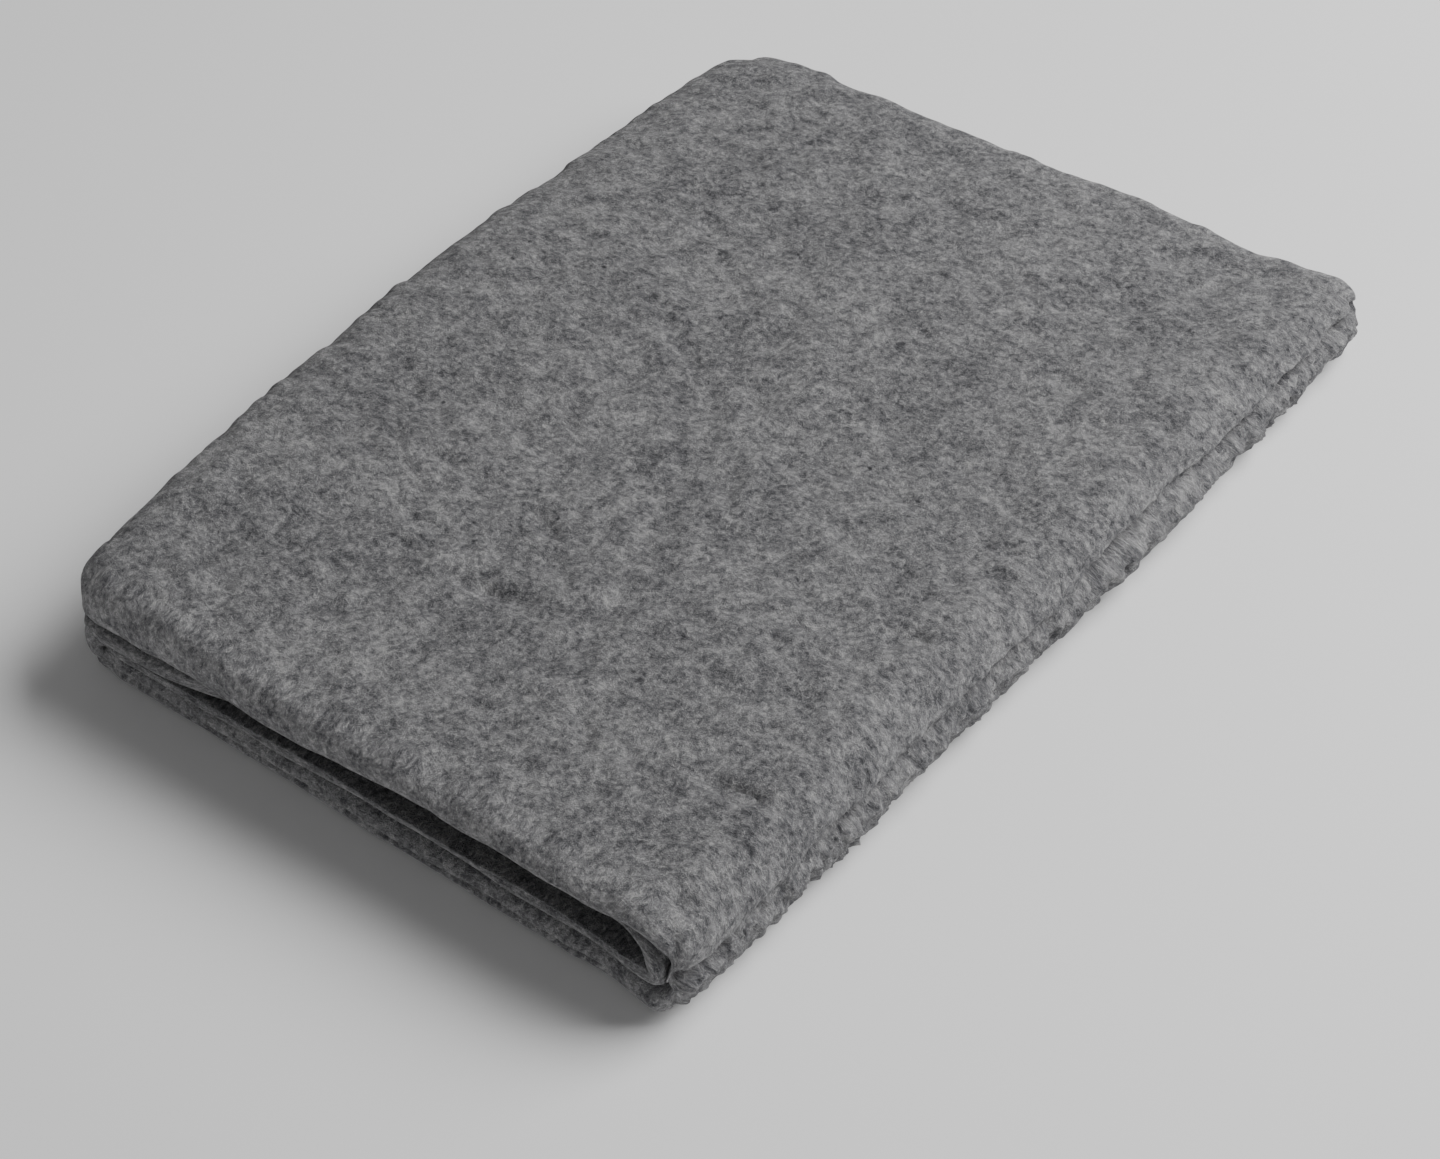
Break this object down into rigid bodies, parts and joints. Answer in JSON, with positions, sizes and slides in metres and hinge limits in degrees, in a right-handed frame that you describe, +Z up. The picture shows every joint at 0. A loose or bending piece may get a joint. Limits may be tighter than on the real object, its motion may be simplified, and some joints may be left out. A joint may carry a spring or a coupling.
{
  "type": "folded throw blanket",
  "caption": "Thick grey felted throw folded in four both ways into a flat rectangular packet, which opens like a book along its spine fold.",
  "frame": {"origin": "middle of the footprint on the table, at the lowest point", "axes": "+X across the packet towards the spine, the last fold; +Y along it, away from the rolled near end; +Z up"},
  "size_m": [0.3058, 0.454, 0.0555],
  "materials": {
    "panel_cloth": "matte heather-grey felted cloth, raised on both sides",
    "fold_cloth": "the same matte heather-grey felted cloth where it turns at a fold"
  },
  "bodies": {
    "lower_half": {"bottom_leaf_far_fold": "fold_cloth", "bottom_leaf_inner_near_fold": "fold_cloth", "bottom_leaf_outer_near_fold": "fold_cloth", "bottom_leaf_panel_1": "panel_cloth", "bottom_leaf_panel_2": "panel_cloth", "bottom_leaf_panel_3": "panel_cloth", "bottom_leaf_panel_4": "panel_cloth", "side_fold_1": "fold_cloth", "side_fold_2": "fold_cloth", "side_fold_3": "fold_cloth", "side_fold_4": "fold_cloth", "spine_fold_lower_1": "fold_cloth", "spine_fold_lower_2": "fold_cloth", "spine_fold_lower_3": "fold_cloth", "spine_fold_lower_4": "fold_cloth", "spine_fold_lower_5": "fold_cloth", "spine_fold_lower_6": "fold_cloth", "spine_fold_lower_7": "fold_cloth", "spine_fold_lower_8": "fold_cloth", "third_leaf_far_fold": "fold_cloth", "third_leaf_inner_near_fold": "fold_cloth", "third_leaf_outer_near_fold": "fold_cloth", "third_leaf_panel_1": "panel_cloth", "third_leaf_panel_2": "panel_cloth", "third_leaf_panel_3": "panel_cloth", "third_leaf_panel_4": "panel_cloth"},
    "upper_half": {"second_leaf_far_fold": "fold_cloth", "second_leaf_inner_near_fold": "fold_cloth", "second_leaf_outer_near_fold": "fold_cloth", "second_leaf_panel_1": "panel_cloth", "second_leaf_panel_2": "panel_cloth", "second_leaf_panel_3": "panel_cloth", "second_leaf_panel_4": "panel_cloth", "spine_fold_upper_1": "fold_cloth", "spine_fold_upper_2": "fold_cloth", "spine_fold_upper_3": "fold_cloth", "spine_fold_upper_4": "fold_cloth", "spine_fold_upper_5": "fold_cloth", "spine_fold_upper_6": "fold_cloth", "spine_fold_upper_7": "fold_cloth", "spine_fold_upper_8": "fold_cloth", "top_leaf_far_fold": "fold_cloth", "top_leaf_inner_near_fold": "fold_cloth", "top_leaf_outer_near_fold": "fold_cloth", "top_leaf_panel_1": "panel_cloth", "top_leaf_panel_2": "panel_cloth", "top_leaf_panel_3": "panel_cloth", "top_leaf_panel_4": "panel_cloth"}
  },
  "joints": [
    {"name": "spine_fold", "type": "hinge", "parent": "lower_half", "child": "upper_half", "pos_m": [0.14815, 0, 0.0205], "axis": [0.0213, 0.9996, -0.0197], "range_deg": [0, 177]}
  ]
}
